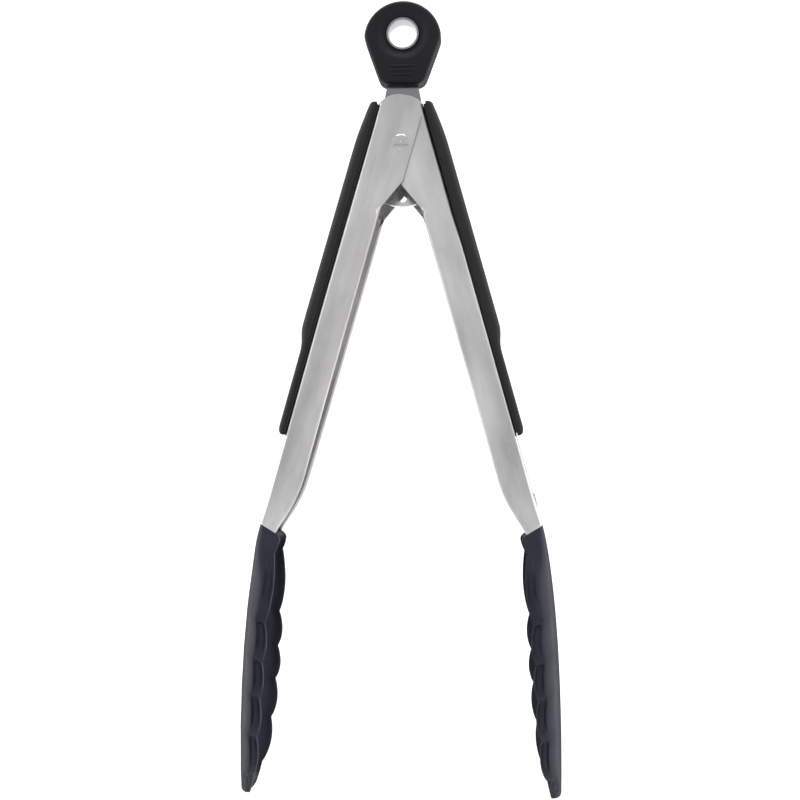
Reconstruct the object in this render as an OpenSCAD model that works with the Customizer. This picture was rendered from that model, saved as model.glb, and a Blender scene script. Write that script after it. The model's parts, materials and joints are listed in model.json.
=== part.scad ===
// Spring loaded tongs: two channel arms on one rivet, silicone heads, a pull tab that locks them shut.
// The frame's origin is the centre of the hanging hole, +Z up, +X to the right arm, +Y to the rear.
// An arm is drawn hanging straight down from the pivot as the left one, then swung open or mirrored.

/* [Arms] */
// Angle of each arm from the vertical when it rests open
open_angle = 15.8; // [13:0.1:19]
// Length of an arm from the pivot to the end of its web
arm_len = 129.3; // [107:0.1:160]
// Distance from the pivot to the outer face of a web
web_x = 10.2; // [10:0.1:12.5]
// Thickness of the arm's steel sheet
sheet = 1.0; // [0.8:0.05:1.2]
// Half of the left arm's width at the pivot
arm_half_w = 10.75; // [10:0.05:13]
// Half of an arm's width at the head
end_half_w = 7; // [6:0.1:8.5]
// Distance from the pivot down to where an arm starts to narrow
taper_z = 60; // [50:1:72]
// Distance from the pivot line to the inner edge of a flange
flange_edge = 0.55; // [0.5:0.05:1]
// Radius of the rolled edge of a flange
hem_r = 1.0; // [0.8:0.05:1.2]
// Radius of the round top of a pivot lobe
lobe_r = 7.6; // [7:0.1:9.2]
// How far a pivot lobe reaches past the pivot
lobe_x = 4.0; // [3.4:0.1:5]
// Distance from the pivot down to the end of a lobe's straight edge
lobe_drop = 11.8; // [10:0.1:14.2]

/* [Grips] */
// Length of a soft grip below the pivot
grip_len = 100; // [84:1:103]
// Height of a soft grip above the pivot
grip_top = 10; // [8:0.5:12]
// Thickness of a grip at the palm, with its base plate
grip_t = 4.3; // [3.6:0.1:5.2]
// Thickness of a grip below its thumb step
grip_low_t = 2.65; // [2.2:0.05:3.2]
// Distance from the pivot down to the thumb step
step_z = 64; // [55:1:72]
// Thickness of a grip's base plate
base_t = 0.8; // [0.6:0.1:1]
// Diameter of a base plate's studs
stud_d = 3; // [2.4:0.1:3.6]

/* [Heads] */
// Length of a head along its arm
head_len = 84.7; // [71:0.1:102]
// Half of a head's greatest control width
head_half_w = 24; // [20:0.5:29]
// How far the tip of a head leans in past the pivot line
tip_in = 10.4; // [9:0.1:12]
// Wall of a head
head_wall = 2.2; // [1.9:0.1:2.6]
// Height of a scallop on the rim
scallop_h = 1.3; // [0.8:0.1:1.6]
// Thickness of the insert's tongue
core_t = 1.0; // [0.8:0.05:1.2]
// Diameter of the rivet that holds an insert
head_rivet_d = 3.2; // [2.6:0.1:3.8]

/* [Pivot] */
// Diameter of the pivot rivet
rivet_d = 3; // [2.5:0.1:3.6]
// Diameter of the rivet's heads
rivet_head_d = 5.2; // [4.6:0.1:6.4]
// Outer diameter of a bush
bush_d = 4.6; // [4.2:0.1:5.2]
// Diameter of the spring wire
wire_d = 1.1; // [0.9:0.05:1.3]
// Whole turns of a spring
spring_turns = 3; // [2:1:3]
// Distance from the pivot down to the end of a spring leg
leg_drop = 16; // [14:0.5:19]

/* [Lock] */
// Thickness of the slider
slider_t = 1.6; // [1.2:0.1:2]
// Half of the slider's width between the catches
shank_half_w = 3.3; // [2.9:0.05:3.3]
// How far the tab pulls out
tab_travel = 5; // [4.1:0.1:5]
// Distance from the pivot down to the lip of a catch
catch_drop = 11.5; // [11:0.1:12]
// Thickness of a catch
catch_t = 0.9; // [0.75:0.05:0.9]
// Half of a catch's width
catch_half_w = 2.6; // [2:0.1:2.6]

/* [Pull tab] */
// Radius of the loop
loop_r = 12.6; // [11.5:0.1:14.5]
// Distance from the pivot up to the middle of the loop
loop_z = 35.6; // [34.5:0.1:39]
// Distance from the pivot up to the middle of the hanging hole
hole_z = 37.6; // [36:0.1:41]
// Diameter of the hanging hole through the ring
hole_d = 9.2; // [7.7:0.1:11]
// Wall of the ring
ring_wall = 0.8; // [0.6:0.1:1]
// Thickness of the tab
tab_t = 8.5; // [7.5:0.1:10.2]
// Width of the tab at its bottom
tab_foot_w = 12.8; // [11:0.1:15]
// Diameter of the dish round the hole
dish_d = 16.3; // [15:0.1:18.5]
// Depth of the dish
dish_depth = 1.2; // [0.8:0.1:1.5]

/* [Clearances] */
// Radial clearance of a pin in its bore
pin_gap = 0.05; // [0.03:0.01:0.1]
// Gap between two sheets that slide on each other
sheet_gap = 0.15; // [0.1:0.01:0.3]
// Gap between the slider and what it passes
slide_gap = 0.25; // [0.15:0.01:0.3]

/* [Hidden] */
$fn = 64;
far = 400;

steel = "#b8b7b4";
bright = "#d4d4d6";
grip_black = "#343537";
tab_black = "#303036";
silicone = "#454955";
nylon = "#26272b";

// The end of the steel slants down from the web to the flange edges by this much a millimetre
end_slope = 0.3;
// The right arm's lobes fit between the left arm's
inner_half_w = arm_half_w - sheet - sheet_gap;
// They widen to the full width below this depth, over the length of the joggle
inner_lobe_z = lobe_drop + 14;
joggle_len = 10;
// Middle of a lobe's round top: left of the pivot and above it
lobe_c = [lobe_r - 4.6, 7.35];
// Height of the web's end above the pivot
web_top = 9.2;
// Distance from the pivot down to where a flange's edge runs straight
flange_z = lobe_drop + 10.1;
// Length over which a flange's edge bends in to the head, and how far it bends
bend_len = 18;
bend_in = 4;

// Angle of each arm from the vertical when the tips meet
closed_angle = atan((tip_in + 0.8 * scallop_h) / (arm_len + 0.955 * head_len));

function bezier(p, t) =
    pow(1 - t, 3) * p[0] + 3 * t * pow(1 - t, 2) * p[1] + 3 * t * t * (1 - t) * p[2] + pow(t, 3) * p[3];
function curve(p, n) = [for (i = [0:n]) bezier(p, i / n)];
function end_z(x) = -arm_len - end_slope * (x + web_x);

// ---- placing ----

module swing(side) {
    translate([0, 0, -hole_z])
        mirror([side == "right" ? 1 : 0, 0, 0])
            rotate([0, open_angle, 0])
                children();
}

module at_pivot() {
    translate([0, 0, -hole_z])
        children();
}

// An outline in X and Z, drawn out along Y
module across(depth) {
    rotate([90, 0, 0])
        linear_extrude(depth, center = true)
            children();
}

// A pin along Y
module pin(d, depth) {
    rotate([90, 0, 0])
        cylinder(d = d, h = depth, center = true);
}

// What lies within an arm's width, inset by a wall
module within_width(inset, lobe_half_w) {
    right_side = [
        [lobe_half_w - inset, 40],
        [lobe_half_w - inset, -inner_lobe_z],
        [arm_half_w - inset, -inner_lobe_z - joggle_len],
        [arm_half_w - inset, -taper_z],
        [end_half_w - inset, -arm_len - bend_in]
    ];
    left_side = [for (i = [len(right_side) - 1:-1:0]) [-right_side[i].x, right_side[i].y]];
    rotate([90, 0, 90])
        linear_extrude(far, center = true)
            polygon(concat(right_side, left_side));
}

// ---- arms ----

module arm_outline() {
    edge_x = -flange_edge;
    bend_end = -bend_in - flange_edge;
    bend = curve([
        [edge_x, -arm_len + bend_len],
        [edge_x, -arm_len + bend_len / 2],
        [bend_end + 1.5, -arm_len + bend_len / 4],
        [bend_end, end_z(bend_end)]
    ], 8);
    intersection() {
        translate([-lobe_c.x, lobe_c.y])
            circle(r = lobe_r);
        translate([-web_x, 0])
            square([web_x + lobe_x, 40]);
    }
    polygon(concat(
        [[-web_x, web_top], [lobe_x, web_top], [lobe_x, -lobe_drop], [edge_x, -flange_z]],
        bend,
        [[-web_x, end_z(-web_x)]]
    ));
}

// The rolled edges of both flanges
module hems(lobe_half_w) {
    top_z = inner_lobe_z + joggle_len;
    low_z = arm_len - bend_len;
    difference() {
        intersection() {
            translate([-flange_edge - 2 * hem_r, -far / 2, -low_z])
                cube([2 * hem_r, far, low_z - top_z]);
            within_width(0, lobe_half_w);
        }
        within_width(2 * hem_r, lobe_half_w);
    }
}

// A tongue lanced out of the web and bent in, with its lip turned down
lip_len = 4;
catch_reach = shank_half_w + slide_gap - 0.15;
catch_top = catch_drop - lip_len;
module catch_tongue() {
    translate([-web_x + sheet / 2, -catch_half_w, -catch_top - catch_t])
        cube([web_x - sheet / 2 - catch_reach, 2 * catch_half_w, catch_t]);
    translate([-catch_reach - catch_t, -catch_half_w, -catch_drop])
        cube([catch_t, 2 * catch_half_w, catch_drop - catch_top]);
}

// The hole that the tongue leaves in the web
module catch_window() {
    window_len = 6;
    cut = 0.2;
    translate([-web_x - sheet, -catch_half_w - cut, -catch_top - catch_t - window_len])
        cube([3 * sheet, 2 * (catch_half_w + cut), window_len]);
}

// Heights of the base plate's two studs and of the insert's rivet
stud_zs = [-(catch_drop + 16), -(grip_len - 12)];
head_rivet_z = -arm_len + 8;

module arm(lobe_half_w) {
    difference() {
        union() {
            difference() {
                intersection() {
                    across(far)
                        arm_outline();
                    within_width(0, lobe_half_w);
                }
                intersection() {
                    union() {
                        translate([-web_x + sheet, -far / 2, -far])
                            cube([far, far, 2 * far]);
                        translate([-far / 2, -far / 2, web_top])
                            cube(far);
                    }
                    within_width(sheet, lobe_half_w);
                }
                catch_window();
            }
            hems(lobe_half_w);
            catch_tongue();
        }
        pin(rivet_d + 2 * pin_gap, far);
        for (z = stud_zs)
            translate([-web_x, 0, z])
                rotate([0, 90, 0])
                    cylinder(d = stud_d + 2 * pin_gap, h = 4 * sheet, center = true);
        translate([-web_x, 0, head_rivet_z])
            rotate([0, 90, 0])
                cylinder(d = head_rivet_d + 2 * pin_gap, h = 4 * sheet, center = true);
    }
}

module left_arm() {
    color(steel)
        swing("left")
            arm(arm_half_w);
}

module right_arm() {
    color(steel)
        swing("right")
            arm(inner_half_w);
}

// ---- grips ----

module grip_outline() {
    face = -web_x - base_t;
    palm = -web_x - grip_t;
    low = -web_x - grip_low_t;
    step_len = 9;
    top = grip_top + 0.6;
    shoulder = [palm + 1.2, top - 1.2];
    crown = concat(
        curve([[face, top], [palm + 1.9, top], [palm + 1.4, top - 0.3], shoulder], 6),
        curve([shoulder, [palm + 0.7, top - 5], [palm, top - 10], [palm, -6]], 8)
    );
    thumb = curve([[palm, -step_z], [palm, -step_z - 4], [low, -step_z - 5], [low, -step_z - step_len]], 8);
    tail = curve([[low, -grip_len + 3], [low, -grip_len + 1], [low + 0.6, -grip_len], [face, -grip_len]], 6);
    polygon(concat(crown, thumb, tail));
}

module grip() {
    side_inset = 0.3;
    intersection() {
        across(far)
            grip_outline();
        within_width(side_inset, arm_half_w);
    }
}

// A stiff plate under the soft grip, with studs that reach through the web
module grip_base() {
    side_inset = 0.8;
    end_inset = 1;
    stud_out = 0.6;
    intersection() {
        translate([-web_x - base_t, -far / 2, -grip_len + end_inset])
            cube([base_t, far, grip_len + grip_top - end_inset]);
        within_width(side_inset, arm_half_w);
    }
    for (z = stud_zs)
        translate([-web_x - base_t / 2, 0, z])
            rotate([0, 90, 0])
                cylinder(d = stud_d, h = base_t / 2 + sheet + stud_out);
}

module left_grip() {
    color(grip_black)
        swing("left")
            grip();
}

module right_grip() {
    color(grip_black)
        swing("right")
            grip();
}

module left_grip_base() {
    color(nylon)
        swing("left")
            grip_base();
}

module right_grip_base() {
    color(nylon)
        swing("right")
            grip_base();
}

// ---- heads ----

// How far a head's collar stands out past the steel
head_lap = 0.3;
head_rows = 34;
arch_parts = 14;
// Radius of the rounded tip, its rows, and its back's distance from its front
tip_r = 1.9;
tip_steps = [0.35, 0.65, 0.87, 0.97];
tip_back = 3.7;
// What a filled scoop leaves of the rim
rim_left = 0.4;
back_curve = [
    [-web_x - head_lap, end_z(-web_x - head_lap)],
    [-web_x, -arm_len - 0.245 * head_len],
    [tip_in - 10.2, -arm_len - 0.717 * head_len],
    [tip_in - tip_back, -arm_len - 0.98 * head_len]
];
rim_curve = [
    [-3.6, end_z(-3.6)],
    [-1.7, -arm_len - 0.268 * head_len],
    [tip_in - 0.1, -arm_len - 0.724 * head_len],
    [tip_in, -arm_len - 0.971 * head_len]
];
head_half_ws = [end_half_w + head_lap, head_half_w - 5, head_half_w, end_half_w - 0.5];

// Where the rim's notches lie, as shares of the head's length below its top
notches = [0.065, 0.315, 0.451, 0.578, 0.724, 0.882];
first_from = -0.04;
function notches_above(share, i = 0) =
    i < len(notches) && notches[i] <= share ? notches_above(share, i + 1) : i;
function scallop_scale(i) = i == 0 ? 0.7 : i == 1 ? 1.25 : i == len(notches) ? 0 : 1;
function scallop(z) =
    let (
        share = max(end_z(rim_curve[0].x) - z, 0) / head_len,
        i = notches_above(share),
        from = i == 0 ? first_from : notches[i - 1],
        to = i == len(notches) ? 2 : notches[i],
        height = scallop_h * scallop_scale(i)
    )
    height * pow(max(sin(180 * (share - from) / (to - from)), 0), 0.8);

// Share of the way from the scoop's floor to the rim that is filled, near the collar and near the tip
function filled(t) = t < 0.2 ? pow(1 - t / 0.2, 2) : t > 0.88 ? pow(min((t - 0.88) / 0.12, 1), 2) : 0;
function arch_power(t) = 0.5 + 0.3 * min(t / 0.3, 1);

// A point of a head's skin: t along it, a round its section, inner for the scoop's side
function head_point(t, a, inner) =
    let (
        s = min(t, 1),
        e = max(t - 1, 0),
        shrink = sqrt(1 - e * e),
        b = bezier(back_curve, s),
        r0 = bezier(rim_curve, s),
        r = r0 + scallop(r0.y) * [1, -end_slope],
        mid = (b + r) / 2,
        u = (r - b) / norm(r - b),
        down = [-u.y, u.x] * (u.x > 0 ? -1 : 1),
        depth = norm(r - b) * shrink,
        foot = mid - u * depth / 2 + down * tip_r * e,
        deepest = depth - rim_left,
        floor_wall = min(head_wall * shrink, deepest),
        floor_d = floor_wall + (deepest - floor_wall) * filled(t),
        w = bezier(head_half_ws, s) * shrink,
        power = arch_power(t),
        rise = 1 - pow(max(cos(a), 0), power),
        side = sign(a) * pow(abs(sin(a)), power),
        d = inner ? floor_d + (depth - floor_d) * rise : depth * rise,
        y = side * (inner ? w - min(head_wall, 0.55 * w) : w)
    )
    [foot.x + u.x * d, y, foot.y + u.y * d];

function head_ring(t) = concat(
    [for (i = [0:arch_parts]) head_point(t, -90 + 180 * i / arch_parts, false)],
    [for (i = [arch_parts:-1:0]) head_point(t, -90 + 180 * i / arch_parts, true)]
);

module head_shell() {
    ts = concat([for (k = [0:head_rows]) k / head_rows], [for (e = tip_steps) 1 + e]);
    n = 2 * (arch_parts + 1);
    rows = len(ts);
    points = [for (t = ts) each head_ring(t)];
    walls = [
        for (k = [0:rows - 2], i = [0:n - 1])
            let (p = k * n + i, q = k * n + (i + 1) % n)
            each [[p, q + n, q], [p, p + n, q + n]]
    ];
    top = [for (i = [0:arch_parts - 1]) each [[i, n - 2 - i, n - 1 - i], [i, i + 1, n - 2 - i]]];
    z = (rows - 1) * n;
    tip = [for (f = top) [z + f[0], z + f[2], z + f[1]]];
    polyhedron(points, concat(walls, top, tip));
}

// A stiff plug that fits in the arm's channel, with a tongue that leans into the silicone
core_top = arm_len - bend_len + 2;
core_lean = 6.5;
core_down = 17;
module head_core() {
    plug_t = 3.4;
    plug_gap = 0.05;
    plug_end = arm_len + 0.4;
    difference() {
        intersection() {
            translate([-web_x + sheet + plug_gap, -far / 2, -plug_end])
                cube([plug_t, far, plug_end - core_top]);
            within_width(sheet + sheet_gap, arm_half_w);
        }
        translate([-web_x, 0, head_rivet_z])
            rotate([0, 90, 0])
                cylinder(d = head_rivet_d + 2 * pin_gap, h = far, center = true);
    }
    translate([-web_x + sheet + 0.6, 0, -arm_len + 1])
        rotate([0, -core_lean, 0])
            translate([0, -end_half_w + 2, -core_down])
                cube([core_t, 2 * end_half_w - 4, core_down]);
}

module head() {
    difference() {
        head_shell();
        head_core();
    }
}

module head_rivet() {
    flat_r = head_rivet_d / 2 + 0.8;
    flat_h = 0.5;
    shank = sheet + 3.6;
    translate([-web_x, 0, head_rivet_z])
        rotate([0, 90, 0]) {
            cylinder(d = head_rivet_d, h = shank);
            translate([0, 0, -flat_h])
                cylinder(r = flat_r, h = flat_h);
        }
}

module left_head() {
    color(silicone)
        swing("left")
            head();
}

module right_head() {
    color(silicone)
        swing("right")
            head();
}

module left_head_core() {
    color(nylon)
        swing("left")
            head_core();
}

module right_head_core() {
    color(nylon)
        swing("right")
            head_core();
}

module left_head_rivet() {
    color(bright)
        swing("left")
            head_rivet();
}

module right_head_rivet() {
    color(bright)
        swing("right")
            head_rivet();
}

// ---- pull tab ----

// The tangent from the tab's foot to the loop, on the right
foot_z = 20.9; // height of the foot above the pivot
foot_c = [tab_foot_w / 2, foot_z - loop_z];
foot_dist = norm(foot_c);
tangent_a = atan2(foot_c.y, foot_c.x) + acos(loop_r / foot_dist);
tangent = [loop_r * cos(tangent_a), loop_z + loop_r * sin(tangent_a)];

module tab_outline() {
    translate([0, loop_z])
        circle(r = loop_r);
    polygon([[-tangent.x, tangent.y], [-foot_c.x, foot_z], [foot_c.x, foot_z], tangent]);
}

module pull_tab() {
    color(tab_black)
        at_pivot()
            difference() {
                across(tab_t)
                    tab_outline();
                translate([0, 0, hole_z])
                    pin(hole_d + 2 * ring_wall, far);
                for (side = [-1, 1])
                    translate([0, side * tab_t / 2, hole_z])
                        pin(dish_d, 2 * dish_depth);
                slider();
            }
}

module hang_ring() {
    length = tab_t - 2 * dish_depth + 0.6;
    color(bright)
        difference() {
            pin(hole_d + 2 * ring_wall, length);
            pin(hole_d, far);
        }
}

// ---- lock slider ----

// The neck narrows from its foot to the tab, and a tang runs on inside the tab
neck_foot = foot_z - 4.4;
neck_slope = 0.2;
neck_half_w = web_x - sheet - 2.2 * tan(open_angle) - 2.6;
neck_top_half_w = neck_half_w - (foot_z - neck_foot) * neck_slope;
tang_top = foot_z + 6.5;
tang_taper = 0.6;
neck_end = 4;
shank_top = -1;
// The bar at the bottom has a hook at each end, which grips the catches of closed arms
bar_top = catch_drop + tab_travel + slide_gap / 2;
hook_top = bar_top - 2;
hook_in = catch_reach + catch_t + catch_drop * tan(closed_angle) + slide_gap;
hook_t = 0.85;
hook_out = hook_in + hook_t;
hook_slope = 0.6;
slider_end = bar_top + 2.1;
slot_w = rivet_d + 0.2;
slot_end = -slider_end + 1.4 + slot_w / 2;

module slider_outline() {
    end_curve = curve([
        [hook_out, -bar_top],
        [hook_out - 0.4, -bar_top - 1.2],
        [hook_out - 3, -slider_end],
        [0, -slider_end]
    ], 8);
    right_side = concat([
        [neck_top_half_w - tang_taper, tang_top],
        [neck_top_half_w, foot_z],
        [neck_half_w, neck_foot],
        [neck_half_w, neck_end],
        [shank_half_w, shank_top],
        [shank_half_w, -bar_top],
        [hook_in, -bar_top],
        [hook_in, -hook_top],
        [hook_out, -hook_top - hook_slope]
    ], end_curve);
    left_side = [for (i = [len(right_side) - 2:-1:0]) [-right_side[i].x, right_side[i].y]];
    difference() {
        polygon(concat(right_side, left_side));
        circle(d = slot_w);
        translate([0, slot_end])
            circle(d = slot_w);
        translate([-slot_w / 2, slot_end])
            square([slot_w, -slot_end]);
    }
}

module slider() {
    across(slider_t)
        slider_outline();
}

module lock_slider() {
    color(steel)
        at_pivot()
            slider();
}

// ---- pivot ----

module pivot_rivet() {
    head_h = 0.9;
    color(bright)
        at_pivot() {
            pin(rivet_d, 2 * arm_half_w);
            for (side = [0, 1])
                mirror([0, side, 0])
                    translate([0, arm_half_w, 0])
                        rotate([-90, 0, 0])
                            rotate_extrude()
                                rivet_dome(rivet_head_d / 2, head_h);
        }
}

// Half of a flat dome: a straight edge, then an arc to the middle
module rivet_dome(r, h) {
    edge = 0.25;
    arc_r = (r * r + (h - edge) * (h - edge)) / (2 * (h - edge));
    intersection() {
        square([r, h]);
        translate([0, h - arc_r])
            circle(r = arc_r, $fn = 256);
    }
}

// A bush fills the space between the slider and the right arm's lobe
bush_gap = 0.1;
bush_from = slider_t / 2 + bush_gap;
bush_to = inner_half_w - sheet - bush_gap;

module bush(side) {
    color(nylon)
        at_pivot()
            translate([0, side * (bush_from + bush_to) / 2, 0])
                difference() {
                    pin(bush_d, bush_to - bush_from);
                    pin(rivet_d + 2 * pin_gap, far);
                }
}

module front_bush() {
    bush(-1);
}

module rear_bush() {
    bush(1);
}

// ---- springs ----

// The coil turns freely on its bush, clear of the catches, and its legs stop just short of the webs
coil_r = bush_d / 2 + wire_d / 2 + 0.25;
coil_pitch = wire_d + 0.08;
coil_from = catch_half_w + wire_d / 2 + 0.15;
leg_in = -web_x + sheet + wire_d / 2 + 0.12;
leg_end = [
    leg_in * cos(open_angle) - leg_drop * sin(open_angle),
    -leg_in * sin(open_angle) - leg_drop * cos(open_angle)
];
coil_start = atan2(leg_end.y, leg_end.x) - acos(coil_r / norm(leg_end)) + 360;
coil_sweep = 2 * coil_start - 180 + 360 * spring_turns;
coil_steps = 16 * spring_turns + 6;
coil_end = coil_from + coil_pitch * coil_sweep / 360;

function coil_point(i) =
    let (
        share = i / coil_steps,
        a = coil_start - share * coil_sweep
    )
    [coil_r * cos(a), coil_from + (coil_end - coil_from) * share, coil_r * sin(a)];

spring_path = concat(
    [[leg_end.x, coil_from, leg_end.y]],
    [for (i = [0:coil_steps]) coil_point(i)],
    [[-leg_end.x, coil_end, leg_end.y]]
);

function unit(v) = v / norm(v);
function path_dir(p, i) = unit(p[min(i + 1, len(p) - 1)] - p[max(i - 1, 0)]);

// A round wire along a path that winds about Y
module wire(p, r, sides) {
    points = [
        for (i = [0:len(p) - 1])
            let (dir = path_dir(p, i), out = unit(cross(dir, [0, 1, 0])), up = cross(dir, out))
            for (k = [0:sides - 1]) p[i] + r * (out * cos(360 * k / sides) + up * sin(360 * k / sides))
    ];
    walls = [
        for (i = [0:len(p) - 2], k = [0:sides - 1])
            let (a = i * sides + k, b = i * sides + (k + 1) % sides)
            each [[a, a + sides, b + sides], [a, b + sides, b]]
    ];
    last = (len(p) - 1) * sides;
    start_cap = [[for (k = [0:sides - 1]) k]];
    end_cap = [[for (k = [sides - 1:-1:0]) last + k]];
    polyhedron(points, concat(walls, start_cap, end_cap));
}

module spring(side) {
    color(bright)
        at_pivot()
            mirror([0, side < 0 ? 1 : 0, 0])
                wire(spring_path, wire_d / 2, 8);
}

module front_spring() {
    spring(-1);
}

module rear_spring() {
    spring(1);
}

left_arm();
right_arm();
left_grip();
right_grip();
left_grip_base();
right_grip_base();
left_head();
right_head();
left_head_core();
right_head_core();
left_head_rivet();
right_head_rivet();
pull_tab();
hang_ring();
lock_slider();
pivot_rivet();
front_bush();
rear_bush();
front_spring();
rear_spring();
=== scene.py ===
# %% [markdown]
# # Spring loaded kitchen tongs
# Two steel channels turn on one rivet, soft grips cover their backs, and silicone heads hold the food.
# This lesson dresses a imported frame: the frame fixes every size and joint, and each cell makes one piece
# or one finish look like the real thing. Nothing here moves the frame.

# %% Load the frame
import json
import math

import bpy
from mathutils import Matrix, Vector


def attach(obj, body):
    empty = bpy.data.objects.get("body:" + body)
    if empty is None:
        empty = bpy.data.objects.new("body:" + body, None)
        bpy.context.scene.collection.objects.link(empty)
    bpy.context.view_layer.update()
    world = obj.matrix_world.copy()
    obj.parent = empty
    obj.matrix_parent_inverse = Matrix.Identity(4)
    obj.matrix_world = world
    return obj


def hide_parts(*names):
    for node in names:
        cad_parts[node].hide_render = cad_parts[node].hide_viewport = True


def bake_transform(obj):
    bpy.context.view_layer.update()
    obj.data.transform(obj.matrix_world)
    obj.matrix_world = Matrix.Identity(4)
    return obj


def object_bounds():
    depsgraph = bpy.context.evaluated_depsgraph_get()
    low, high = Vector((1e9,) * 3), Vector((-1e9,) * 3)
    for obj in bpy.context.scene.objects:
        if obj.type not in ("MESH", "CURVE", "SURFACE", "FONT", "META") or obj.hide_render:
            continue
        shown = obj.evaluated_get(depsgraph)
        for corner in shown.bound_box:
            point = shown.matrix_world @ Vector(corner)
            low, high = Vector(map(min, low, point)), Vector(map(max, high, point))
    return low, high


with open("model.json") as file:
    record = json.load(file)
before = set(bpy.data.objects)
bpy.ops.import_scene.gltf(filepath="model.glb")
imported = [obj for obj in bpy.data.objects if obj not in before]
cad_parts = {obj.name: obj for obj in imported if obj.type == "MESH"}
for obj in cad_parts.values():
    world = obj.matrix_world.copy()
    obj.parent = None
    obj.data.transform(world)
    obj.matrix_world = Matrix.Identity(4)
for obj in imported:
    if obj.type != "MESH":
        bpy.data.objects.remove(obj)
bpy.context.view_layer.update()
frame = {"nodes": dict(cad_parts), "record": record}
joints = {joint["name"]: joint for joint in frame["record"]["behaviour"]["joints"]}
PIVOT = Vector(joints["left_arm_swing"]["pos_m"])
MM = 0.001

# %% [markdown]
# ## The camera
# The camera stands a little to the right of the tongs and slightly below their middle, with a short
# telephoto lens. It is placed first, from the direction it looks in and its distance.

# %% Place the camera
camera_yaw, camera_pitch, camera_roll = math.radians(3.4), math.radians(2.0), math.radians(0.2)
camera_distance = 0.4
look_at = Vector((-0.0006, 0, PIVOT.z - 0.0818))
forward = Vector((
    -math.sin(camera_yaw) * math.cos(camera_pitch),
    math.cos(camera_yaw) * math.cos(camera_pitch),
    math.sin(camera_pitch),
))
camera_data = bpy.data.cameras.new("camera")
camera_data.sensor_width = 36
camera_data.lens = 55.4
camera = bpy.data.objects.new("camera", camera_data)
bpy.context.scene.collection.objects.link(camera)
camera.location = look_at - forward * camera_distance
camera.rotation_euler = forward.to_track_quat("-Z", "Y").to_euler()
camera.rotation_euler.rotate_axis("Z", camera_roll)
bpy.context.scene.camera = camera
print("camera at", tuple(round(v, 3) for v in camera.location))

# %% [markdown]
# ## Tools for modelling
# Most pieces are pressed or moulded, so they start as a flat grid whose points are laid on a form, the
# way a sheet is pressed over a tool. The grid's edges are then merged where they meet, its open ends are
# filled, and modifiers round the edges.

# %% Helpers for selecting and pressing
def deselect():
    if bpy.context.mode != "OBJECT":
        bpy.ops.object.mode_set(mode="OBJECT")
    bpy.ops.object.select_all(action="DESELECT")


def pick(piece):
    deselect()
    piece.select_set(True)
    bpy.context.view_layer.objects.active = piece


def pressed_grid(name, columns, rows, place):
    """A grid of columns by rows points, each put where place(column, row) says, in millimetres."""
    deselect()
    bpy.ops.mesh.primitive_grid_add(x_subdivisions=columns - 1, y_subdivisions=rows - 1, size=1)
    piece = bpy.context.object
    piece.name = name
    points = piece.data.vertices
    assert len(points) == columns * rows, len(points)
    for k, point in enumerate(points):
        point.co = Vector(place(k % columns, k // columns)) * MM
    return piece


def close_up(piece, fill=True):
    """Merges the points that meet, fills open ends and turns every face outwards."""
    pick(piece)
    bpy.ops.object.mode_set(mode="EDIT")
    bpy.ops.mesh.select_all(action="SELECT")
    bpy.ops.mesh.remove_doubles(threshold=0.000002)
    if fill:
        bpy.ops.mesh.fill_holes(sides=0)
    bpy.ops.mesh.select_all(action="SELECT")
    bpy.ops.mesh.normals_make_consistent(inside=False)
    bpy.ops.object.mode_set(mode="OBJECT")


def select_faces(piece, wanted):
    """Goes into edit mode with only the faces selected whose centre, in millimetres, is wanted."""
    pick(piece)
    bpy.ops.object.mode_set(mode="EDIT")
    bpy.ops.mesh.select_mode(type="FACE")
    bpy.ops.mesh.select_all(action="DESELECT")
    bpy.ops.object.mode_set(mode="OBJECT")
    for polygon in piece.data.polygons:
        polygon.select = wanted(polygon.center / MM)
    bpy.ops.object.mode_set(mode="EDIT")


# %% Helpers for finishing a piece
def modify(piece, kind, **settings):
    """Adds a modifier with its settings and applies it."""
    pick(piece)
    made = piece.modifiers.new(kind.lower(), kind)
    for name, value in settings.items():
        setattr(made, name, value)
    bpy.ops.object.modifier_apply(modifier=made.name)


def round_edges(piece, width_mm, segments=2, angle=40):
    modify(piece, "BEVEL", width=width_mm * MM, segments=segments, limit_method="ANGLE",
           angle_limit=math.radians(angle), harden_normals=False)


def bar(centre, size):
    """A plain bar at its place and size in millimetres, a start for small pieces."""
    deselect()
    bpy.ops.mesh.primitive_cube_add(size=1, location=Vector(centre) * MM)
    made = bpy.context.object
    made.scale = Vector(size) * MM
    bpy.ops.object.transform_apply(location=True, rotation=False, scale=True)
    return made


def twin(piece, name):
    """A copy of a finished piece with a mesh of its own."""
    made = piece.copy()
    made.data = piece.data.copy()
    made.name = name
    bpy.context.scene.collection.objects.link(made)
    return made


def shade(piece, angle=40):
    pick(piece)
    bpy.ops.object.shade_smooth_by_angle(angle=math.radians(angle))


def join(pieces, name):
    deselect()
    for piece in pieces:
        piece.select_set(True)
    bpy.context.view_layer.objects.active = pieces[0]
    bpy.ops.object.join()
    bpy.context.object.name = name
    return bpy.context.object


# %% Helpers for curves
def bezier(points, t):
    """The point at a share t of a curve with four control points."""
    a, b, c, d = (Vector(p) for p in points)
    return a * (1 - t) ** 3 + b * 3 * t * (1 - t) ** 2 + c * 3 * t * t * (1 - t) + d * t ** 3


def ramp(value, low, high):
    """0 below low, 1 above high, and a soft rise between them."""
    share = min(max((value - low) / (high - low), 0), 1)
    return share * share * (3 - 2 * share)


# %% [markdown]
# ## The arm's own frame
# An arm is easiest to shape as it hangs straight down from the pivot: x to the right, z up, millimetres.
# The left arm then swings open by the rest angle, and the right one is its mirror image. Putting this in
# the mesh, and not in the object, keeps every piece's object at the origin.

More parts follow.
